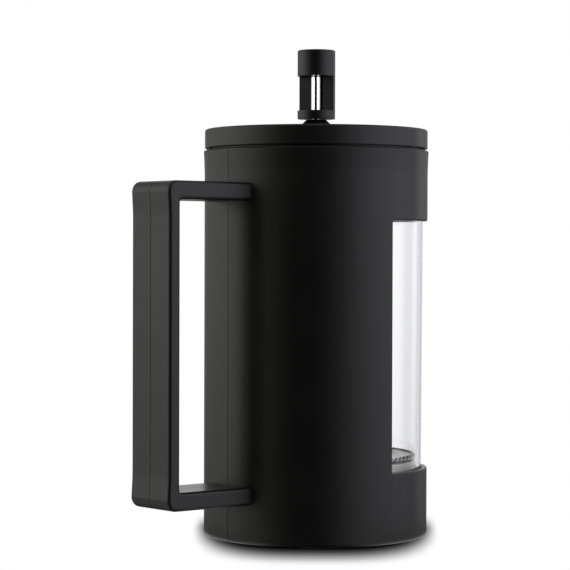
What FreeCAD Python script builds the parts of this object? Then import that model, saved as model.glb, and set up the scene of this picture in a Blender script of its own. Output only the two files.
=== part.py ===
import FreeCAD, Part
import math
import os

# French press: a glass beaker standing in a moulded sleeve with an integral D handle, a flat lid
# with a centre boss, and a plunger with a sprung filter. Millimetres, +Z up. The origin is the
# centre of the resting face, on the plunger's axis. The handle points to -X, the spout to +X.

# sleeve and handle, one moulding
sleeve_radius = 50.5        # outside, over the straight part
sleeve_wall = 2.5           # at the foot, less above it because the bore opens upwards
bore_draft = 0.0058         # growth of the bore's radius per mm of height
sleeve_floor = 3.0
rim_height = 173.5          # top of the sleeve
rim_flare = 0.4             # how far the rim stands out from the straight part
flare_height = 10.0
foot_round = 1.6
rim_round = 0.6
sill_height = 31.0          # lower edge of the open front half
rim_band = 31.5             # window to rim
window_side = 1.5           # the front half is open in front of this X
window_corner = 1.2
window_edge_round = 0.6
notch_width = 27.0          # slot in the rim that the spout looks out of
notch_depth = 22.5
handle_stand = 42.7         # sleeve to the grip's outer face at its ends
handle_drop = 15.4          # rim to the upper arm
handle_bottom = 17.4
arm_thick = 8.0
grip_thick = 5.75
grip_hollow = 0.8           # how far the grip's middle lies behind its ends
grip_end = 14.0             # height over which an end stands out
handle_width = 28.0
handle_corner = 4.6
handle_inner_corner = 1.2
handle_edge_round = 1.5
seam_width = 0.3            # mould parting line in the handle's middle plane
seam_depth = 0.15

# pads
foot_pad_inset = 6.9        # inside the sleeve's flat underside
foot_pad_gap = 0.2          # round the pad, in its recess
foot_pad_thick = 1.6
foot_pad_proud = 0.15       # below the sleeve's own underside
cushion_inset = 2.6         # inside the beaker's flat underside
cushion_width = 17.0
cushion_thick = 2.0

# beaker
beaker_gap = 0.4            # round the beaker, inside the sleeve
glass_wall = 2.0
glass_floor = 2.6
glass_corner = 8.0
glass_rim_drop = 0.7        # the beaker's rim below the sleeve's
spout_reach = 8.4           # beyond the beaker's wall at the rim
spout_round = 11.5          # radius of the spout at the rim
spout_drop = 20.8           # height over which the spout grows out of the wall
spout_root = 5.0            # radius of the spout at its lower end
spout_root_depth = 1.5      # the spout's lower end inside the wall's outer face

# lid
lid_inset = 0.1             # lid's side inside the sleeve's
lid_side = 8.7              # height of the lid's side
lid_gap = 0.9               # between the sleeve's rim and the lid
lid_edge_round = 1.0
lid_wall = 2.2
lid_top_wall = 2.4
boss_wall = 0.75            # boss round its bush, at the top
boss_height = 4.7
boss_spread = 5.2           # how much wider the boss is at its foot
boss_fillet = 4.0
hub_wall = 2.85
rib_count = 6
rib_thick = 1.4
rib_height = 2.0
liner_thick = 2.0
liner_fit = 0.2             # liner disc inside the lid's side
liner_ledge = 1.5           # shoulder in the lid that the liner seats against
skirt_wall = 1.6
skirt_depth = 16.0
strainer_wall = 0.7
strainer_half_angle = 23.0
strainer_window_margin = 3.0    # degrees and mm, the strainer beyond its window
strainer_top_gap = 3.0          # liner disc to the strainer
strainer_height = 11.5
strainer_hole = 1.7
strainer_rows = 3
strainer_columns = 9
seal_flange = 1.2
seal_lip_depth = 3.0
seal_lip_wall = 0.7
seal_rim_inset = 0.3        # the seal's edge inside the glass's outer face
turn_gap = 0.3              # between the lid's skirt, its seal and the beaker

# plunger
rod_radius = 2.5
thread_radius = 2.0
running_gap = 0.05          # rod in its bush, bush in the lid
bush_wall = 1.05
bush_flange = 2.0           # step of the bush's foot
bush_flange_thick = 1.5
knob_radius = 8.53
knob_gap = 0.3              # boss to knob, plunger down
knob_ring = 3.75
knob_waist = 15.6
knob_cap = 11.65
knob_edge_round = 0.5
knob_face_angle = 204.7     # the way the waist's flat faces, degrees from +X
knob_groove_gap = 0.65      # round the rod, in the groove behind it
rod_hole_gap = 0.2          # rod in the knob's lower ring
insert_wall = 1.5
insert_length = 7.2
insert_recess = 0.8

# filter stack, from the top
filter_gap = 0.4            # spring to glass, where the beaker is narrowest
filter_rest = 26.8          # beaker's floor to the spring plate's middle, plunger down
spring_radius = 1.2         # of the coil's own round
plate_thick = 0.8
plate_rise = 1.3            # raised edge of the spring plate
plate_edge_depth = 0.1      # the plate's edge beyond the coil's centre line
plate_ramp = 2.0
screen_thick = 0.35
screen_inset = 0.4          # inside the spring's outer face
screen_skirt = 5.4
cross_rim = 6.2
cross_gap = 0.05            # cross plate inside the screen's skirt
collar_wall = 3.0
collar_height = 5.0
nut_flats = 9.0
nut_height = 4.4
thread_end = 1.2            # of the rod's thread below the nut
inner_hole_radius = 5.0
inner_hole_ring = 16.0
inner_hole_count = 6
outer_hole_radius = 3.4
outer_hole_inset = 7.6      # hole centres inside the foot of the plate's raised edge
outer_hole_count = 14
cross_hole_radius = 7.6
cross_hole_ring = 20.0
cross_hole_count = 6
cross_small_radius = 3.2
cross_small_inset = 8.3     # hole centres inside the cross plate's rim
cross_small_count = 18

overrun = 1.0               # how far a cutter runs past what it cuts
tiny = 0.001                # positions closer than this are the same


def bore_radius(z):
    return sleeve_radius - sleeve_wall + bore_draft * z


def glass_outer(z):
    return bore_radius(z) - beaker_gap


def glass_inner(z):
    return glass_outer(z) - glass_wall


# heights and radii that follow
window_top = rim_height - rim_band
handle_top = rim_height - handle_drop
handle_reach = sleeve_radius + handle_stand
foot_pad_radius = sleeve_radius - foot_round - foot_pad_inset
sleeve_foot = foot_pad_proud
floor_top = sleeve_foot + sleeve_floor
glass_foot = floor_top + cushion_thick
glass_rim = rim_height - glass_rim_drop
cushion_outer = glass_outer(glass_foot) - glass_corner - cushion_inset
seal_top = glass_rim + seal_flange
liner_top = seal_top + liner_thick
skirt_foot = seal_top - skirt_depth
lid_foot = rim_height + lid_gap
lid_top = lid_foot + lid_side
lid_radius = sleeve_radius - lid_inset
lid_bore = lid_radius - lid_wall
boss_top = lid_top + boss_height
seal_lip_outer = glass_inner(glass_rim - seal_lip_depth) - turn_gap
seal_lip_inner = seal_lip_outer - seal_lip_wall
skirt_outer = seal_lip_inner - turn_gap
skirt_inner = skirt_outer - skirt_wall
bush_bore = rod_radius + running_gap
bush_outer = bush_bore + bush_wall
bush_hole = bush_outer + running_gap
boss_radius = bush_hole + boss_wall
hub_radius = bush_hole + hub_wall
knob_foot = boss_top + knob_gap
waist_foot = knob_foot + knob_ring
cap_foot = waist_foot + knob_waist
knob_top = cap_foot + knob_cap
insert_foot = cap_foot + insert_recess
insert_outer = thread_radius + insert_wall
plate_foot = glass_foot + glass_floor + filter_rest
spring_height = plate_foot + plate_rise + plate_thick / 2
spring_outer = glass_inner(plate_foot) - filter_gap
spring_line = spring_outer - spring_radius
plate_edge = spring_line + plate_edge_depth
ramp_end = spring_line - spring_radius - plate_ramp
ramp_start = ramp_end - plate_ramp
screen_outer = spring_outer - screen_inset
screen_foot = plate_foot - screen_thick
cross_outer = screen_outer - screen_thick - cross_gap
cross_foot = screen_foot - plate_thick
rod_shoulder = plate_foot + plate_thick
nut_foot = cross_foot - nut_height

axis = FreeCAD.Vector(0, 0, 1)
origin = FreeCAD.Vector(0, 0, 0)


def outline(corners):
    """Closed wire in the XZ plane through (x, z, round) corners, each rounded by its own radius."""
    points = [FreeCAD.Vector(x, 0, z) for x, z, _ in corners]
    starts = []
    ends = []
    arcs = []
    for number, (_, _, radius) in enumerate(corners):
        here = points[number]
        back = points[number - 1] - here
        ahead = points[(number + 1) % len(points)] - here
        back.normalize()
        ahead.normalize()
        if radius == 0:
            starts.append(here)
            ends.append(here)
            arcs.append(None)
            continue
        half = back.getAngle(ahead) / 2
        inward = back + ahead
        inward.normalize()
        start = here + back * (radius / math.tan(half))
        end = here + ahead * (radius / math.tan(half))
        middle = here + inward * (radius / math.sin(half) - radius)
        starts.append(start)
        ends.append(end)
        arcs.append(Part.Arc(start, middle, end).toShape())
    edges = []
    for number, arc in enumerate(arcs):
        if arc:
            edges.append(arc)
        following = starts[(number + 1) % len(starts)]
        if ends[number].distanceToPoint(following) > tiny:
            edges.append(Part.LineSegment(ends[number], following).toShape())
    return Part.Wire(edges)


def turned(corners):
    return Part.Face(outline(corners)).revolve(origin, axis, 360)


def tube(outer, inner, low, high):
    corners = [(inner, low, 0), (outer, low, 0), (outer, high, 0), (inner, high, 0)]
    return turned(corners)


def rod(radius, low, high):
    return Part.makeCylinder(radius, high - low, FreeCAD.Vector(0, 0, low))


def through_y(corners, width):
    """Solid of an XZ outline, centred on the XZ plane."""
    face = Part.Face(outline(corners))
    face.translate(FreeCAD.Vector(0, -width / 2, 0))
    return face.extrude(FreeCAD.Vector(0, width, 0))


def turned_copies(shape, count):
    copies = []
    for number in range(count):
        copy = shape.copy()
        copy.rotate(origin, axis, 360 * number / count)
        copies.append(copy)
    return copies


def hole_ring(radius, ring, count, low, high):
    hole = Part.makeCylinder(radius, high - low, FreeCAD.Vector(ring, 0, low))
    return turned_copies(hole, count)


def sector(radius, half_angle, low, high):
    """Wedge round +X, used to take a stretch of a tube."""
    wedge = Part.makeCylinder(radius, high - low, FreeCAD.Vector(0, 0, low), axis, 2 * half_angle)
    wedge.rotate(origin, axis, -half_angle)
    return wedge


def shell_corners(inset):
    """Half section of the sleeve's outside, moved inwards by inset."""
    return [
        (0, sleeve_foot + inset, 0),
        (sleeve_radius - inset, sleeve_foot + inset, foot_round),
        (sleeve_radius - inset, rim_height - flare_height, 4 * flare_height),
        (sleeve_radius + rim_flare - inset, rim_height - inset, rim_round),
        (0, rim_height - inset, 0),
    ]


def handle_prism(inset, width):
    """The D from its side, moved inwards by inset all round, without its rounded edges."""
    root = bore_radius(handle_bottom)
    middle = handle_reach - grip_hollow
    outer = [
        (-root, handle_bottom + inset, 0),
        (-handle_reach + inset, handle_bottom + inset, handle_corner),
        (-middle + inset, handle_bottom + grip_end, 5 * grip_end),
        (-middle + inset, handle_top - grip_end, 5 * grip_end),
        (-handle_reach + inset, handle_top - inset, handle_corner),
        (-root, handle_top - inset, 0),
    ]
    inner = [
        (0, handle_bottom + arm_thick - inset, 0),
        (-middle + grip_thick - inset, handle_bottom + arm_thick - inset, handle_inner_corner),
        (-middle + grip_thick - inset, handle_top - arm_thick + inset, handle_inner_corner),
        (0, handle_top - arm_thick + inset, 0),
    ]
    return through_y(outer, width).cut(through_y(inner, width + 2 * overrun))


def handle():
    solid = handle_prism(0, handle_width)
    rim = []
    for edge in solid.Edges:
        box = edge.BoundBox
        on_side = abs(abs(box.Center.y) - handle_width / 2) < tiny and box.YLength < tiny
        if on_side and box.XMin < -bore_radius(handle_bottom) - tiny:
            rim.append(edge)
    return solid.makeFillet(handle_edge_round, rim)


def parting_groove():
    """Fine groove all round the moulding in the handle's middle plane."""
    near = -foot_pad_radius - overrun
    far = -handle_reach - overrun
    slab = through_y([
        (near, sleeve_foot - overrun, 0),
        (far, sleeve_foot - overrun, 0),
        (far, rim_height + overrun, 0),
        (near, rim_height + overrun, 0),
    ], seam_width)
    mirrored = [(-x, z, radius) for x, z, radius in shell_corners(seam_depth)]
    core = through_y(mirrored, 2 * seam_width)
    return slab.cut([core, handle_prism(seam_depth, 2 * seam_width)])


def sleeve():
    body = turned(shell_corners(0)).fuse(handle())
    cavity = turned([
        (0, floor_top, 0),
        (bore_radius(floor_top), floor_top, foot_round),
        (bore_radius(rim_height + overrun), rim_height + overrun, 0),
        (0, rim_height + overrun, 0),
    ])
    far = sleeve_radius + rim_flare + overrun
    window = through_y([
        (window_side, sill_height, window_corner),
        (far, sill_height, 0),
        (far, window_top, 0),
        (window_side, window_top, window_corner),
    ], 2 * far)
    pad_recess = rod(foot_pad_radius + foot_pad_gap, sleeve_foot - overrun, foot_pad_thick)
    body = body.cut(cavity).cut(window).removeSplitter()
    body = body.makeFillet(window_edge_round, window_edges(body))
    return body.cut([notch(), pad_recess, parting_groove()])


def window_edges(body):
    """Edges all round the open front half, on the inside and the outside of the wall."""
    edges = []
    for edge in body.Edges:
        box = edge.BoundBox
        in_height = box.ZMin > sill_height - tiny and box.ZMax < window_top + tiny
        across_wall = box.XLength < tiny and box.ZLength < tiny
        if in_height and box.XMin > window_side - tiny and not across_wall:
            edges.append(edge)
    return edges


def notch():
    """U-shaped slot through the rim on the pouring side."""
    half = notch_width / 2
    low = rim_height - notch_depth
    length = sleeve_radius + rim_flare + overrun
    round_end = Part.makeCylinder(half, length, FreeCAD.Vector(0, 0, low + half), FreeCAD.Vector(1, 0, 0))
    upper = Part.makeBox(length, notch_width, notch_depth - half + overrun,
                         FreeCAD.Vector(0, -half, low + half))
    return round_end.fuse(upper)


def foot_pad():
    return rod(foot_pad_radius, 0, foot_pad_thick)


def beaker_cushion():
    return tube(cushion_outer, cushion_outer - cushion_width, floor_top, glass_foot)


def spout(shrink, high):
    """Oblique cone that grows out of the beaker's wall towards the rim."""
    tip = glass_outer(glass_rim) + spout_reach
    foot = glass_rim - spout_drop
    root_centre = glass_outer(foot) - spout_root_depth - spout_root
    rim_centre = tip - spout_round
    grow = (high - foot) / spout_drop
    centre = root_centre + (rim_centre - root_centre) * grow
    radius = spout_root + (spout_round - spout_root) * grow
    lower = Part.makeCircle(spout_root - shrink, FreeCAD.Vector(root_centre, 0, foot))
    upper = Part.makeCircle(radius - shrink, FreeCAD.Vector(centre, 0, high))
    return Part.makeLoft([Part.Wire(lower), Part.Wire(upper)], True, True)


def glass_beaker():
    outside = turned([
        (0, glass_foot, 0),
        (glass_outer(glass_foot), glass_foot, glass_corner),
        (glass_outer(glass_rim), glass_rim, 0),
        (0, glass_rim, 0),
    ])
    mouth = glass_rim + overrun
    hollow_foot = glass_foot + glass_floor
    inside = turned([
        (0, hollow_foot, 0),
        (glass_inner(hollow_foot), hollow_foot, glass_corner - glass_wall),
        (glass_inner(mouth), mouth, 0),
        (0, mouth, 0),
    ])
    outside = outside.fuse(spout(0, glass_rim))
    inside = inside.fuse(spout(glass_wall, mouth))
    return outside.cut(inside)


def lid_cover():
    ledge = lid_bore - liner_ledge
    under_top = lid_top - lid_top_wall
    cover = turned([
        (bush_hole, liner_top, 0),
        (hub_radius, liner_top, 0),
        (hub_radius, under_top, 0),
        (ledge, under_top, 0),
        (ledge, liner_top, 0),
        (lid_bore, liner_top, 0),
        (lid_bore, lid_foot, 0),
        (lid_radius, lid_foot, lid_edge_round / 2),
        (lid_radius, lid_top, lid_edge_round),
        (boss_radius + boss_spread, lid_top, boss_fillet),
        (boss_radius, boss_top, 0),
        (bush_hole, boss_top, 0),
    ])
    rib = Part.makeBox(ledge - hub_radius + overrun, rib_thick, rib_height,
                       FreeCAD.Vector(hub_radius - overrun / 2, -rib_thick / 2, under_top - rib_height))
    return cover.fuse(turned_copies(rib, rib_count)).removeSplitter()


def lid_liner():
    disc = lid_bore - liner_fit
    hole = bush_outer + turn_gap
    liner = turned([
        (hole, seal_top, 0),
        (skirt_inner, seal_top, liner_thick / 2),
        (skirt_inner, skirt_foot, skirt_wall / 4),
        (skirt_outer, skirt_foot, skirt_wall / 4),
        (skirt_outer, seal_top, 0),
        (disc, seal_top, 0),
        (disc, liner_top, 0),
        (hole, liner_top, 0),
    ])
    high = seal_top - strainer_top_gap
    opening = sector(skirt_outer + overrun, strainer_half_angle - strainer_window_margin,
                     high - strainer_height + strainer_window_margin / 2,
                     high - strainer_window_margin / 2)
    core = rod(skirt_inner - overrun, skirt_foot, seal_top)
    return liner.cut(opening.cut(core))


def pour_strainer():
    high = seal_top - strainer_top_gap
    low = high - strainer_height
    plate = tube(skirt_inner, skirt_inner - strainer_wall, low, high)
    plate = plate.common(sector(skirt_outer, strainer_half_angle, low, high))
    holes = []
    row_step = (strainer_height - 2 * strainer_window_margin) / (strainer_rows - 1)
    spread = 2 * (strainer_half_angle - 2 * strainer_window_margin)
    for row in range(strainer_rows):
        for column in range(strainer_columns):
            hole = Part.makeCylinder(strainer_hole / 2, skirt_outer,
                                     FreeCAD.Vector(0, 0, low + strainer_window_margin + row * row_step),
                                     FreeCAD.Vector(1, 0, 0))
            hole.rotate(origin, axis, spread * (column / (strainer_columns - 1) - 0.5))
            holes.append(hole)
    return plate.cut(holes)


def lid_seal():
    edge = glass_outer(glass_rim) - seal_rim_inset
    return turned([
        (seal_lip_inner, seal_top, 0),
        (seal_lip_inner, glass_rim - seal_lip_depth, 0),
        (seal_lip_outer, glass_rim - seal_lip_depth, 0),
        (seal_lip_outer, glass_rim, 0),
        (edge, glass_rim, 0),
        (edge, seal_top, 0),
    ])


def rod_bush():
    flange_top = seal_top - turn_gap
    flange_foot = flange_top - bush_flange_thick
    return turned([
        (bush_bore, flange_foot, 0),
        (bush_outer + bush_flange, flange_foot, 0),
        (bush_outer + bush_flange, flange_top, 0),
        (bush_outer, flange_top, 0),
        (bush_outer, boss_top, 0),
        (bush_bore, boss_top, 0),
    ])


def plunger_rod():
    lower = rod(thread_radius, nut_foot - thread_end, rod_shoulder)
    shaft = rod(rod_radius, rod_shoulder, insert_foot)
    upper = rod(thread_radius, insert_foot, insert_foot + insert_length)
    return lower.fuse([shaft, upper]).removeSplitter()


def knob():
    body = turned([
        (0, knob_foot, 0),
        (knob_radius, knob_foot, knob_edge_round / 2),
        (knob_radius, knob_top, knob_edge_round),
        (0, knob_top, 0),
    ])
    reach = knob_radius + overrun
    cut_out = Part.makeBox(reach, 2 * reach, knob_waist, FreeCAD.Vector(0, -reach, waist_foot))
    cut_out.rotate(origin, axis, knob_face_angle)
    groove = rod(rod_radius + knob_groove_gap, waist_foot, cap_foot)
    ring_hole = rod(rod_radius + rod_hole_gap, knob_foot - overrun, waist_foot + overrun)
    insert_hole = rod(insert_outer, cap_foot - overrun, insert_foot + insert_length)
    return body.cut([cut_out, groove, ring_hole, insert_hole])


def knob_insert():
    return tube(insert_outer, thread_radius, insert_foot, insert_foot + insert_length)


def rod_collar():
    collar_radius = rod_radius + collar_wall
    chamfer = collar_wall / 4
    return turned([
        (rod_radius, rod_shoulder, 0),
        (collar_radius, rod_shoulder, 0),
        (collar_radius, rod_shoulder + collar_height, chamfer),
        (rod_radius, rod_shoulder + collar_height, 0),
    ])


def spring_plate():
    high = plate_foot + plate_rise
    plate = turned([
        (thread_radius, plate_foot, 0),
        (ramp_start, plate_foot, 0),
        (ramp_end, high, 0),
        (plate_edge, high, 0),
        (plate_edge, high + plate_thick, 0),
        (ramp_end - plate_thick / 2, high + plate_thick, 0),
        (ramp_start - plate_thick / 2, plate_foot + plate_thick, 0),
        (thread_radius, plate_foot + plate_thick, 0),
    ])
    low = plate_foot - overrun
    top = plate_foot + plate_thick + overrun
    holes = hole_ring(inner_hole_radius, inner_hole_ring, inner_hole_count, low, top)
    holes += hole_ring(outer_hole_radius, ramp_start - outer_hole_inset, outer_hole_count, low, top)
    return plate.cut(holes)


def filter_spring():
    ring = Part.makeTorus(spring_line, spring_radius, FreeCAD.Vector(0, 0, spring_height))
    return ring.cut(rod(plate_edge, plate_foot + plate_rise, plate_foot + plate_rise + plate_thick))


def mesh_screen():
    return turned([
        (thread_radius, screen_foot, 0),
        (screen_outer - screen_thick, screen_foot, 0),
        (screen_outer - screen_thick, screen_foot - screen_skirt, 0),
        (screen_outer, screen_foot - screen_skirt, 0),
        (screen_outer, plate_foot, 2 * screen_thick),
        (thread_radius, plate_foot, 0),
    ])


def cross_plate():
    rim_inner = cross_outer - plate_thick
    plate = turned([
        (thread_radius, cross_foot, 0),
        (rim_inner, cross_foot, 0),
        (rim_inner, screen_foot - cross_rim, 0),
        (cross_outer, screen_foot - cross_rim, 0),
        (cross_outer, screen_foot, plate_thick),
        (thread_radius, screen_foot, 0),
    ])
    low = cross_foot - overrun
    top = screen_foot + overrun
    holes = hole_ring(cross_hole_radius, cross_hole_ring, cross_hole_count, low, top)
    small_ring = cross_outer - cross_small_inset
    holes += hole_ring(cross_small_radius, small_ring, cross_small_count, low, top)
    return plate.cut(holes)


def hub_nut():
    corner = nut_flats / math.sqrt(3)
    turns = [math.radians(60 * number) for number in range(7)]
    points = [FreeCAD.Vector(corner * math.cos(turn), corner * math.sin(turn), nut_foot) for turn in turns]
    hexagon = Part.Face(Part.makePolygon(points)).extrude(FreeCAD.Vector(0, 0, nut_height))
    return hexagon.cut(rod(thread_radius, nut_foot - overrun, cross_foot + overrun))


pieces = [
    sleeve, foot_pad, beaker_cushion, glass_beaker,
    lid_cover, lid_liner, pour_strainer, lid_seal,
    rod_bush, plunger_rod, knob, knob_insert,
    rod_collar, spring_plate, filter_spring, mesh_screen, cross_plate, hub_nut,
]

os.makedirs("parts", exist_ok=True)
for piece in pieces:
    shape = piece()
    print(piece.__name__, len(shape.Solids), "solid", round(shape.Volume), "mm3", shape.isValid())
    shape.exportStep("parts/" + piece.__name__ + ".step")
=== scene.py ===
import math
import bpy
import bmesh
from mathutils import Matrix, Vector


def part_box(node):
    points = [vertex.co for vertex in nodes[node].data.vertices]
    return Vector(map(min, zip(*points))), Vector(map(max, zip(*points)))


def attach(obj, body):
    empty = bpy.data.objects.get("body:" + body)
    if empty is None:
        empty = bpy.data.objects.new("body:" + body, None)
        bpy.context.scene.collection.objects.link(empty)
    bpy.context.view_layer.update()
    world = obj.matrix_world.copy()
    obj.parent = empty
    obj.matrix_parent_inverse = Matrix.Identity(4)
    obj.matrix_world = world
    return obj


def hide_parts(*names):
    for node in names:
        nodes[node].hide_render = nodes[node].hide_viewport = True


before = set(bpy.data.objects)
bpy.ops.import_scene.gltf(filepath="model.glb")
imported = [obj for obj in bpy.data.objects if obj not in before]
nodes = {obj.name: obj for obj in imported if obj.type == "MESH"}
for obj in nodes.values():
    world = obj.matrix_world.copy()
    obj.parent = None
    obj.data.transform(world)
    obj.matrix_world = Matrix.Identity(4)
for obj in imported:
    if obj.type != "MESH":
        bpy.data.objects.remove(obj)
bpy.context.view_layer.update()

mm = 0.001


# shader helpers

class Signal:
    # a socket, or a plain number, that can stand in a sum
    def __init__(self, tree, socket):
        self.tree = tree
        self.socket = socket

    def math(self, operation, *values):
        return self.tree.node("ShaderNodeMath", {"operation": operation}, dict(enumerate(values)))

    def __add__(self, other):
        return self.math("ADD", self, other)

    def __radd__(self, other):
        return self.math("ADD", other, self)

    def __sub__(self, other):
        return self.math("SUBTRACT", self, other)

    def __rsub__(self, other):
        return self.math("SUBTRACT", other, self)

    def __mul__(self, other):
        return self.math("MULTIPLY", self, other)

    def __rmul__(self, other):
        return self.math("MULTIPLY", other, self)

    def __truediv__(self, other):
        return self.math("DIVIDE", self, other)

    def __rtruediv__(self, other):
        return self.math("DIVIDE", other, self)

    def __pow__(self, other):
        return self.math("POWER", self, other)

    def __abs__(self):
        return self.math("ABSOLUTE", self)

    def clamped(self):
        return self.math("MINIMUM", self.math("MAXIMUM", self, 0.0), 1.0)

    def step(self, low, high):
        # 0 below low, 1 above high, smooth between
        return self.tree.node("ShaderNodeMapRange", {"interpolation_type": "SMOOTHSTEP"},
                              {"Value": self, "From Min": low, "From Max": high})


class Tree:
    def __init__(self, owner):
        owner.use_nodes = True
        self.tree = owner.node_tree
        self.tree.nodes.clear()

    def node(self, kind, settings=None, inputs=None, out=0):
        made = self.tree.nodes.new(kind)
        for key, value in (settings or {}).items():
            if key == "stops":
                ramp = made.color_ramp
                while len(ramp.elements) < len(value):
                    ramp.elements.new(0.5)
                for element, (place, colour) in zip(ramp.elements, value):
                    element.position = place
                    element.color = (*colour, 1.0)
            else:
                setattr(made, key, value)
        for key, value in (inputs or {}).items():
            self.feed(made.inputs[key], value)
        return Signal(self, made.outputs[out])

    def feed(self, socket, value):
        if isinstance(value, Signal):
            self.tree.links.new(value.socket, socket)
        elif isinstance(value, (tuple, list)) and len(value) == 3 and socket.type == "RGBA":
            socket.default_value = (*value, 1.0)
        else:
            socket.default_value = value

    def mix(self, factor, first, second):
        # colour mix
        made = self.tree.nodes.new("ShaderNodeMix")
        made.data_type = "RGBA"
        self.feed(made.inputs[0], factor)
        self.feed(made.inputs[6], first)
        self.feed(made.inputs[7], second)
        return Signal(self, made.outputs[2])

    def place(self):
        return self.node("ShaderNodeTexCoord", out=3)

    def split(self, vector):
        return [self.node("ShaderNodeSeparateXYZ", inputs={0: vector}, out=number) for number in range(3)]

    def axes(self):
        # x, y and z of a point of the object, in metres
        return self.split(self.place())

    def ray(self, name):
        return self.node("ShaderNodeLightPath", out=name)

    def noise(self, size, detail=2.0, rough=0.5, stretch=(1, 1, 1)):
        # size is the width of one blotch in metres
        scaled = self.node("ShaderNodeMapping", {"vector_type": "POINT"},
                           {"Vector": self.place(), "Scale": tuple(1 / axis for axis in stretch)})
        return self.node("ShaderNodeTexNoise", inputs={"Vector": scaled, "Scale": 1 / size,
                                                       "Detail": detail, "Roughness": rough})

    def bump(self, height, distance, strength=1.0):
        return self.node("ShaderNodeBump", inputs={"Height": height, "Distance": distance,
                                                   "Strength": strength})

    def finish(self, shader, kind="ShaderNodeOutputMaterial"):
        out = self.tree.nodes.new(kind)
        self.tree.links.new(shader.socket, out.inputs["Surface"])


def material(name):
    made = bpy.data.materials.new(name)
    return made, Tree(made)


def coat(piece, finish):
    # one finish over a whole piece
    piece.data.materials.clear()
    piece.data.materials.append(finish)


# finishes

def blackMoulding():
    look = {"dark": (0.009, 0.009, 0.0092), "light": (0.013, 0.013, 0.0128), "rough": 0.36,
            "grain": 0.35 * mm, "grainDepth": 0.012 * mm, "cloud": 18 * mm}
    made, tree = material("blackMoulding")
    cloud = tree.noise(look["cloud"], detail=3)
    grain = tree.noise(look["grain"], detail=2, rough=0.6)
    shader = tree.node("ShaderNodeBsdfPrincipled", inputs={
        "Base Color": tree.mix(cloud, look["dark"], look["light"]),
        "Roughness": look["rough"] + 0.10 * (cloud - 0.5) + 0.12 * (grain - 0.5),
        "Normal": tree.bump(grain, look["grainDepth"]),
    })
    tree.finish(shader)
    return made


def smoothPlastic():
    look = {"colour": (0.010, 0.010, 0.0105), "rough": 0.28, "cloud": 9 * mm, "waveDepth": 0.02 * mm}
    made, tree = material("smoothPlastic")
    cloud = tree.noise(look["cloud"], detail=3)
    shader = tree.node("ShaderNodeBsdfPrincipled", inputs={
        "Base Color": tree.mix(cloud, look["colour"], tuple(1.4 * part for part in look["colour"])),
        "Roughness": look["rough"] + 0.12 * (cloud - 0.5),
        "Normal": tree.bump(cloud, look["waveDepth"]),
    })
    tree.finish(shader)
    return made


def rubber(name, colour, rough):
    look = {"speck": 0.8 * mm, "speckDepth": 0.03 * mm}
    made, tree = material(name)
    speck = tree.noise(look["speck"], detail=3)
    shader = tree.node("ShaderNodeBsdfPrincipled", inputs={
        "Base Color": tree.mix(speck, colour, tuple(1.35 * part for part in colour)),
        "Roughness": rough + 0.15 * (speck - 0.5),
        "Normal": tree.bump(speck, look["speckDepth"]),
    })
    tree.finish(shader)
    return made


def clearSilicone():
    look = {"dark": (0.66, 0.68, 0.68), "light": (0.78, 0.80, 0.80), "rough": 0.45,
            "speck": 1.2 * mm, "speckDepth": 0.02 * mm, "milky": 0.3}
    made, tree = material("clearSilicone")
    speck = tree.noise(look["speck"], detail=2)
    shader = tree.node("ShaderNodeBsdfPrincipled", inputs={
        "Base Color": tree.mix(speck, look["dark"], look["light"]),
        "Roughness": look["rough"] + 0.1 * (speck - 0.5),
        "Normal": tree.bump(speck, look["speckDepth"]),
        "Subsurface Weight": look["milky"],
    })
    tree.finish(shader)
    return made


def polishedSteel():
    look = {"dark": (0.72, 0.72, 0.73), "light": (0.80, 0.80, 0.80), "rough": 0.12, "streak": 0.25 * mm}
    made, tree = material("polishedSteel")
    streak = tree.noise(look["streak"], detail=2, stretch=(1, 1, 40))
    shader = tree.node("ShaderNodeBsdfPrincipled", inputs={
        "Base Color": tree.mix(streak, look["dark"], look["light"]),
        "Roughness": look["rough"] + 0.08 * streak,
        "Metallic": 1.0,
    })
    tree.finish(shader)
    return made


def stampedSteel():
    look = {"dark": (0.27, 0.27, 0.24), "light": (0.36, 0.36, 0.33), "rough": 0.2,
            "streak": 0.3 * mm, "streakDepth": 0.004 * mm, "cloud": 8 * mm}
    made, tree = material("stampedSteel")
    streak = tree.noise(look["streak"], detail=3, stretch=(30, 1, 1))
    cloud = tree.noise(look["cloud"], detail=2)
    shader = tree.node("ShaderNodeBsdfPrincipled", inputs={
        "Base Color": tree.mix(cloud, look["dark"], look["light"]),
        "Roughness": look["rough"] + 0.15 * streak + 0.05 * cloud,
        "Metallic": 1.0,
        "Normal": tree.bump(streak, look["streakDepth"]),
    })
    tree.finish(shader)
    return made


def springWire():
    look = {"dark": (0.48, 0.48, 0.44), "light": (0.60, 0.60, 0.56), "rough": 0.2, "cloud": 2 * mm}
    made, tree = material("springWire")
    cloud = tree.noise(look["cloud"], detail=2)
    shader = tree.node("ShaderNodeBsdfPrincipled", inputs={
        "Base Color": tree.mix(cloud, look["dark"], look["light"]),
        "Roughness": look["rough"] + 0.1 * cloud,
        "Metallic": 1.0,
    })
    tree.finish(shader)
    return made


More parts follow.
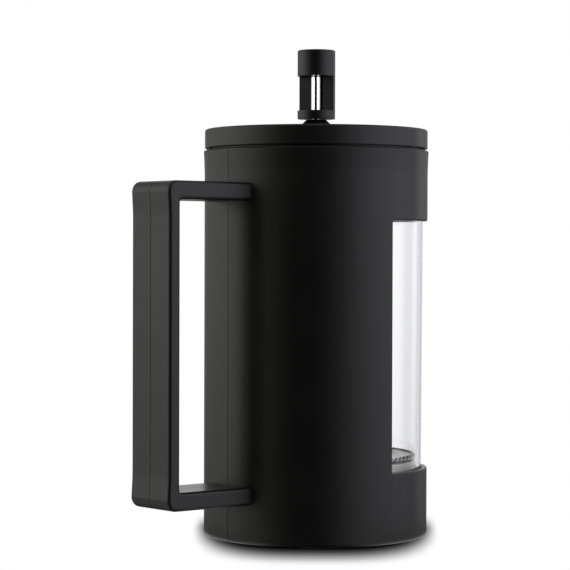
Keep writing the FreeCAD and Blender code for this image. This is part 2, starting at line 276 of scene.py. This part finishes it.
def wovenSteel():
    look = {"pitch": 0.32 * mm, "light": (0.82, 0.82, 0.76), "dark": (0.34, 0.34, 0.30),
            "wallRadius": 44.0 * mm, "rough": 0.42, "wireDepth": 0.06 * mm}
    made, tree = material("wovenSteel")
    x, y, z = tree.axes()
    turn = (y.math("ARCTAN2", y, x)) * look["wallRadius"]
    normal = tree.split(tree.node("ShaderNodeNewGeometry", out=1))
    level = abs(normal[2]).step(0.6, 0.8)  # 1 on the flat disc, 0 on the turned down wall
    height = weave(x, y, look["pitch"]) * level + weave(turn, z, look["pitch"]) * (1 - level)
    # the colour follows the weave's height: the wire crossings are light and the low lines between them darker, a
    # painted shade in the hollows
    shader = tree.node("ShaderNodeBsdfPrincipled", inputs={
        "Base Color": tree.mix(height, look["dark"], look["light"]),
        "Roughness": look["rough"] - 0.1 * height,
        "Metallic": 1.0,
        "Normal": tree.bump(height, look["wireDepth"]),
    })
    tree.finish(shader)
    return made


def weave(across, along, pitch):
    # plain weave: two sets of wires, each over and under the other
    one = (across * (math.pi / pitch)).math("SINE", across * (math.pi / pitch))
    two = (along * (math.pi / pitch)).math("SINE", along * (math.pi / pitch))
    return (0.25 + 0.75 * abs(one) * abs(two)).clamped()


def turnedBrass():
    look = {"dark": (0.68, 0.48, 0.20), "light": (0.82, 0.62, 0.30), "rough": 0.25, "ring": 0.2 * mm}
    made, tree = material("turnedBrass")
    ring = tree.noise(look["ring"], detail=2, stretch=(12, 12, 1))
    shader = tree.node("ShaderNodeBsdfPrincipled", inputs={
        "Base Color": tree.mix(ring, look["dark"], look["light"]),
        "Roughness": look["rough"] + 0.15 * ring,
        "Metallic": 1.0,
    })
    tree.finish(shader)
    return made


def beakerGlass():
    look = {"dark": (0.962, 0.962, 0.978), "light": (0.975, 0.975, 0.988), "bend": 1.47, "smear": 30 * mm,
            "shadow": (0.93, 0.94, 0.94)}
    made, tree = material("beakerGlass")
    smear = tree.noise(look["smear"], detail=3)
    shader = tree.node("ShaderNodeBsdfPrincipled", inputs={
        "Base Color": tree.mix(smear, look["dark"], look["light"]),
        "Roughness": 0.012 * smear,
        "IOR": look["bend"],
        "Transmission Weight": 1.0,
    })
    # shadows and soft light pass straight through
    clear = tree.node("ShaderNodeBsdfTransparent", inputs={"Color": look["shadow"]})
    shadow = tree.ray("Is Shadow Ray")
    either = shadow.math("MAXIMUM", shadow, tree.ray("Is Diffuse Ray"))
    mixed = tree.node("ShaderNodeMixShader", inputs={0: either, 1: shader, 2: clear})
    tree.finish(mixed)
    return made


finishes = {
    "blackMoulding": blackMoulding(), "smoothPlastic": smoothPlastic(),
    "greyRubber": rubber("greyRubber", (0.045, 0.045, 0.045), 0.7),
    "blackRubber": rubber("blackRubber", (0.015, 0.015, 0.015), 0.55),
    "clearSilicone": clearSilicone(), "polishedSteel": polishedSteel(), "stampedSteel": stampedSteel(),
    "springWire": springWire(), "wovenSteel": wovenSteel(), "turnedBrass": turnedBrass(),
    "beakerGlass": beakerGlass(),
}
nodeFinish = {
    "sleeve": "blackMoulding", "lid_cover": "blackMoulding", "knob": "blackMoulding",
    "lid_liner": "smoothPlastic", "rod_bush": "smoothPlastic",
    "foot_pad": "greyRubber", "lid_seal": "blackRubber", "beaker_cushion": "clearSilicone",
    "plunger_rod": "polishedSteel", "rod_collar": "polishedSteel", "hub_nut": "polishedSteel",
    "pour_strainer": "stampedSteel", "spring_plate": "stampedSteel", "cross_plate": "stampedSteel",
    "mesh_screen": "wovenSteel", "knob_insert": "turnedBrass",
}
for node, finish in nodeFinish.items():
    coat(nodes[node], finishes[finish])
print("finishes done")


# beaker

def ringSurface(name, profile, turns, shape=None):
    # closed skin of revolution from (radius, height) points, first and last on the axis
    mesh = bmesh.new()
    rings = []
    for radius, height in profile[1:-1]:
        ring = []
        for number in range(turns):
            turn = 2 * math.pi * number / turns
            reach = radius + (shape(turn, height) if shape else 0.0)
            ring.append(mesh.verts.new((reach * math.cos(turn), reach * math.sin(turn), height)))
        rings.append(ring)
    for lower, upper in zip(rings, rings[1:]):
        for number in range(turns):
            following = (number + 1) % turns
            mesh.faces.new((lower[number], lower[following], upper[following], upper[number]))
    for ring, (_, height), flip in ((rings[0], profile[0], True), (rings[-1], profile[-1], False)):
        centre = mesh.verts.new((0, 0, height))
        for number in range(turns):
            following = (number + 1) % turns
            corner = (ring[following], ring[number]) if flip else (ring[number], ring[following])
            mesh.faces.new((centre, *corner))
    return meshObject(name, mesh)


def meshObject(name, mesh):
    bmesh.ops.recalc_face_normals(mesh, faces=mesh.faces)
    data = bpy.data.meshes.new(name)
    mesh.to_mesh(data)
    mesh.free()
    data.polygons.foreach_set("use_smooth", [True] * len(data.polygons))
    piece = bpy.data.objects.new(name, data)
    bpy.context.collection.objects.link(piece)
    return piece


def arc(centre, radius, start, end, steps):
    points = []
    for number in range(steps + 1):
        turn = math.radians(start + (end - start) * number / steps)
        points.append((centre[0] + radius * math.cos(turn), centre[1] + radius * math.sin(turn)))
    return points


beakerSize = {"wall": 2.0 * mm, "floor": 2.6 * mm, "corner": 8.0 * mm, "footSlim": 0.97 * mm,
              "spoutDrop": 21 * mm, "spoutSpread": 21.0, "turns": 192, "rise": 40, "cupped": 0.5 * mm}


def makeBeaker():
    size = beakerSize
    low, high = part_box("glass_beaker")
    foot, rim = low[2], high[2]
    rimRadius = high[1]
    spoutReach = high[0] - rimRadius
    wall, corner = size["wall"], size["corner"]
    footRadius = rimRadius - size["footSlim"]

    def outer(height):
        return footRadius + (rimRadius - footRadius) * (height - foot) / (rim - foot)

    def bulge(turn, height):
        around = math.degrees(math.atan2(math.sin(turn), math.cos(turn))) / size["spoutSpread"]
        upward = (height - rim + size["spoutDrop"]) / size["spoutDrop"]
        if abs(around) >= 1 or upward <= 0:
            return 0.0
        upward = min(upward, 1.0)
        bell = (0.5 + 0.5 * math.cos(math.pi * around)) ** 1.3
        return spoutReach * bell * upward ** 2 * (1.6 - 0.6 * upward)

    floorTop = foot + size["floor"]
    heights = [foot + corner + (rim - wall / 2 - foot - corner) * number / size["rise"]
               for number in range(size["rise"] + 1)]
    profile = [(0.0, foot + size["cupped"]), (footRadius * 0.5, foot + size["cupped"]),
               (footRadius - 1.7 * corner, foot)]
    profile += arc((outer(foot + corner) - corner, foot + corner), corner, -90, 0, 10)[:-1]
    profile += [(outer(height), height) for height in heights]
    profile += arc((outer(rim) - wall / 2, rim - wall / 2), wall / 2, 0, 180, 8)[1:-1]
    profile += [(outer(height) - wall, height) for height in reversed(heights)]
    inner = corner - wall
    profile += arc((outer(foot + corner) - corner, floorTop + inner), inner, 0, -90, 8)[1:]
    profile += [(footRadius * 0.4, floorTop), (0.0, floorTop)]
    beaker = ringSurface("glassBeaker", profile, size["turns"], bulge)
    coat(beaker, finishes["beakerGlass"])
    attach(beaker, "beaker")
    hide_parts("glass_beaker")
    return beaker


makeBeaker()
print("beaker done")


# filter spring

springSize = {"wire": 0.8 * mm, "pitch": 3.2 * mm, "perTurn": 16, "sides": 8}


def makeFilterSpring():
    size = springSize
    low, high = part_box("filter_spring")
    coil = (high[2] - low[2]) / 2
    line = high[0] - coil
    middle = (low[2] + high[2]) / 2
    wire = size["wire"] / 2
    turns = round(2 * math.pi * line / size["pitch"])
    count = turns * size["perTurn"]
    around = coil - wire
    mesh = bmesh.new()
    rings = []
    for number in range(count):
        main = 2 * math.pi * number / count
        own = main * turns
        outward = Vector((math.cos(main), math.sin(main), 0))
        along = Vector((-math.sin(main), math.cos(main), 0))
        spoke = outward * math.cos(own) + Vector((0, 0, math.sin(own)))
        centre = outward * line + Vector((0, 0, middle)) + spoke * around
        curl = Vector((0, 0, math.cos(own))) - outward * math.sin(own)
        ahead = (along * (line + around * math.cos(own)) + curl * around * turns).normalized()
        side = ahead.cross(spoke).normalized()
        spoke = side.cross(ahead)
        ring = []
        for corner in range(size["sides"]):
            turn = 2 * math.pi * corner / size["sides"]
            ring.append(mesh.verts.new(centre + wire * (spoke * math.cos(turn) + side * math.sin(turn))))
        rings.append(ring)
    for number in range(count):
        ring, following = rings[number], rings[(number + 1) % count]
        for corner in range(size["sides"]):
            beside = (corner + 1) % size["sides"]
            mesh.faces.new((ring[corner], ring[beside], following[beside], following[corner]))
    spring = meshObject("filterSpring", mesh)
    coat(spring, finishes["springWire"])
    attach(spring, "plunger")
    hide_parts("filter_spring")
    return spring


makeFilterSpring()
print("filter spring done")


# studio

cameraPlace = {"turn": 229.73, "distance": 0.99785, "height": 0.12645, "pan": -0.801, "tilt": 0.776,
               "roll": -0.169, "lens": 138.96}


def makeCamera():
    place = cameraPlace
    turn = math.radians(place["turn"])
    away = Vector((math.cos(turn), math.sin(turn), 0))
    position = away * place["distance"] + Vector((0, 0, place["height"]))
    up = Vector((0, 0, 1))
    right = (-away).cross(up)
    pan, tilt, roll = (math.radians(place[key]) for key in ("pan", "tilt", "roll"))
    level = -away * math.cos(pan) + right * math.sin(pan)
    side = right * math.cos(pan) + away * math.sin(pan)
    ahead = level * math.cos(tilt) - up * math.sin(tilt)
    top = level * math.sin(tilt) + up * math.cos(tilt)
    rolledSide = side * math.cos(roll) - top * math.sin(roll)
    rolledTop = side * math.sin(roll) + top * math.cos(roll)
    data = bpy.data.cameras.new("camera")
    data.lens = place["lens"]
    data.sensor_width = 36
    camera = bpy.data.objects.new("camera", data)
    camera.matrix_world = Matrix((rolledSide, rolledTop, -ahead)).transposed().to_4x4()
    camera.matrix_world.translation = position
    bpy.context.collection.objects.link(camera)
    bpy.context.scene.camera = camera
    return away, right


def areaLight(name, centre, aim, width, height, power):
    data = bpy.data.lights.new(name, "AREA")
    data.shape = "RECTANGLE"
    data.size = width
    data.size_y = height
    data.energy = power
    lamp = bpy.data.objects.new(name, data)
    lamp.location = centre
    lamp.rotation_mode = "QUATERNION"
    lamp.rotation_quaternion = (aim - centre).to_track_quat("-Z", "Y")
    lamp.visible_camera = False
    bpy.context.collection.objects.link(lamp)
    return lamp


studio = {"stripPower": 2.6, "stripDistance": 0.8, "stripTurn": 46.0, "stripShift": -14.0, "stripWide": 0.38,
          "stripTall": 0.6, "stripHeight": 0.2, "level": 1.15, "brightest": 1.3,
          "below": 0.35, "belowBand": (-0.02, 0.16), "above": 0.30, "aboveBand": (0.35, 0.8),
          "floorGlow": 0.35, "floorBand": (0.25, 0.6), "glowBand": (0.25, 0.65),
          "glassBack": 0.95, "glassBand": (0.70, 0.90), "tintBand": (-0.4, 0.4),
          "leftTint": (1.0, 1.01, 0.94), "rightTint": (0.985, 0.975, 1.03)}
# how bright the room is around the object, from behind, past the left, the camera side and the right
roomStops = [(-180, 1.10), (-167, 0.70), (-157, 0.20), (-122, 0.66), (-98, 1.22), (-72, 0.98), (-50, 0.30),
             (-32, 0.04), (-20, 0.0), (12, 0.0), (28, 0.30), (48, 0.80), (66, 1.10), (106, 1.05), (112, 0.42),
             (128, 0.40), (132, 0.95), (139, 0.95), (143, 0.34), (158, 0.28), (168, 0.70), (180, 1.10)]


def unlitPath(tree):
    # 1 for what the camera sees straight on or through glass
    bounces = tree.ray("Glossy Depth") + tree.ray("Diffuse Depth")
    through = tree.ray("Is Transmission Ray")
    return (1.0 - bounces.clamped()) * through.math("MAXIMUM", through, tree.ray("Is Camera Ray"))


def makeWorld(away, right):
    look = studio
    world = bpy.data.worlds.new("studio")
    bpy.context.scene.world = world
    tree = Tree(world)
    x, y, z = tree.split(tree.node("ShaderNodeTexCoord"))
    sideways = x * right.x + y * right.y
    forward = x * away.x + y * away.y
    turn = sideways.math("ARCTAN2", sideways, forward) * (0.5 / math.pi) + 0.5
    stops = [((degrees + 180) / 360, (level / look["brightest"],) * 3) for degrees, level in roomStops]
    room = tree.node("ShaderNodeValToRGB", {"stops": stops}, {"Fac": turn})
    room = room * (look["brightest"] * look["level"])
    low = (-1.0 * z).step(*look["belowBand"])
    deep = (-1.0 * z).step(*look["floorBand"])
    glow = (1.0 + look["floorGlow"]) * abs(sideways).step(*look["glowBand"])
    room = room * (1.0 - (1.0 - look["below"]) * low) * (1.0 - deep + deep * glow)
    high = z.step(*look["aboveBand"])
    room = room * (1.0 - high) + high * look["above"]
    behind = look["glassBack"] * (-1.0 * forward).step(*look["glassBand"]) * tree.ray("Is Transmission Ray")
    room = room * (1.0 - behind) + behind
    clean = unlitPath(tree)
    tint = tree.mix(sideways.step(*look["tintBand"]), look["leftTint"], look["rightTint"])
    tree.finish(tree.node("ShaderNodeBackground", inputs={
        "Color": tree.mix(clean, tint, (1, 1, 1)),
        "Strength": room * (1.0 - clean) + clean,
    }), "ShaderNodeOutputWorld")


# the soft shade round the foot: a long oval that reaches back from it, with a soft edge
floorLook = {"half": 0.8, "wide": 52 * mm, "long": 155 * mm, "behind": 93 * mm, "squash": 0.13, "square": 3,
             "soft": (-2.2 * mm, 6.6 * mm), "dense": 1.5, "tail": (80 * mm, 125 * mm), "rear": (-85 * mm, -15 * mm),
             "speck": 0.5 * mm, "shadeSpeckle": 0.03, "glint": 0.75, "gloom": 0.15, "ring": (53 * mm, 57 * mm),
             "edge": (80 * mm, 105 * mm), "flank": (0.3, 0.7)}


def makeFloor(away, right):
    look = floorLook
    mesh = bmesh.new()
    corners = ((-1, -1), (1, -1), (1, 1), (-1, 1))
    mesh.faces.new([mesh.verts.new((x * look["half"], y * look["half"], 0)) for x, y in corners])
    floor = meshObject("floor", mesh)
    paper, tree = material("paper")
    x, y, z = tree.axes()
    forward = x * away.x + y * away.y
    across = abs(x * right.x + y * right.y)
    side = across / look["wide"]
    front = abs(forward + look["behind"]) / look["long"]
    # the distance outside the oval, with the far way counted short by the squash
    power = look["square"]
    reach = (side ** power + front ** power) ** (1 / power)
    deep = look["long"] * look["squash"]
    slope = ((side ** (power - 1) / look["wide"]) ** 2 + (front ** (power - 1) / deep) ** 2) ** 0.5
    outside = (reach - 1.0) * reach ** (power - 1) / slope
    lit = outside.step(*look["soft"]) ** look["dense"]
    radius = (x * x + y * y) ** 0.5
    shade = (1.0 - lit) * (1.0 - radius.step(*look["tail"])) * forward.step(*look["rear"])
    speck = tree.noise(look["speck"], detail=2)
    # the painted shade is mottled with fine specks; the paper outside it stays plain
    tone = (1.0 - shade) * (1.0 - look["shadeSpeckle"] * speck * shade)
    back = tree.node("ShaderNodeNewGeometry", out="Backfacing")
    clean = unlitPath(tree) * (1.0 - back)
    # the moulding sees the paper too: a bright ring at the foot, left and right, and the shade round it
    glint = (1.0 - radius.step(*look["edge"])) * (across / radius).step(*look["flank"])
    glint = glint * tree.ray("Is Glossy Ray") * (1.0 - back)
    level = look["glint"] + (look["gloom"] - look["glint"]) * radius.step(*look["ring"])
    sheet = tree.node("ShaderNodeEmission", inputs={"Color": clean * tone + (1.0 - clean) * level})
    gone = 1.0 - clean.math("MAXIMUM", clean, glint)
    clear = tree.node("ShaderNodeBsdfTransparent")
    tree.finish(tree.node("ShaderNodeMixShader", inputs={0: gone, 1: sheet, 2: clear}))
    coat(floor, paper)


def makeLamps(away, right):
    # two tall strips that only the bright metal sees
    look = studio
    metal = bpy.data.collections.new("metal")
    for node in ("plunger_rod", "rod_collar", "hub_nut"):
        metal.objects.link(nodes[node])
    for name, side in (("leftStrip", -1), ("rightStrip", 1)):
        turn = math.radians(look["stripTurn"] * side + look["stripShift"])
        aim = Vector((0, 0, look["stripHeight"]))
        centre = aim + (away * math.cos(turn) + right * math.sin(turn)) * look["stripDistance"]
        strip = areaLight(name, centre, aim, look["stripWide"], look["stripTall"], look["stripPower"])
        strip.light_linking.receiver_collection = metal


away, right = makeCamera()
makeWorld(away, right)
makeFloor(away, right)
makeLamps(away, right)
bpy.context.scene.view_settings.view_transform = "Standard"
print("studio done")
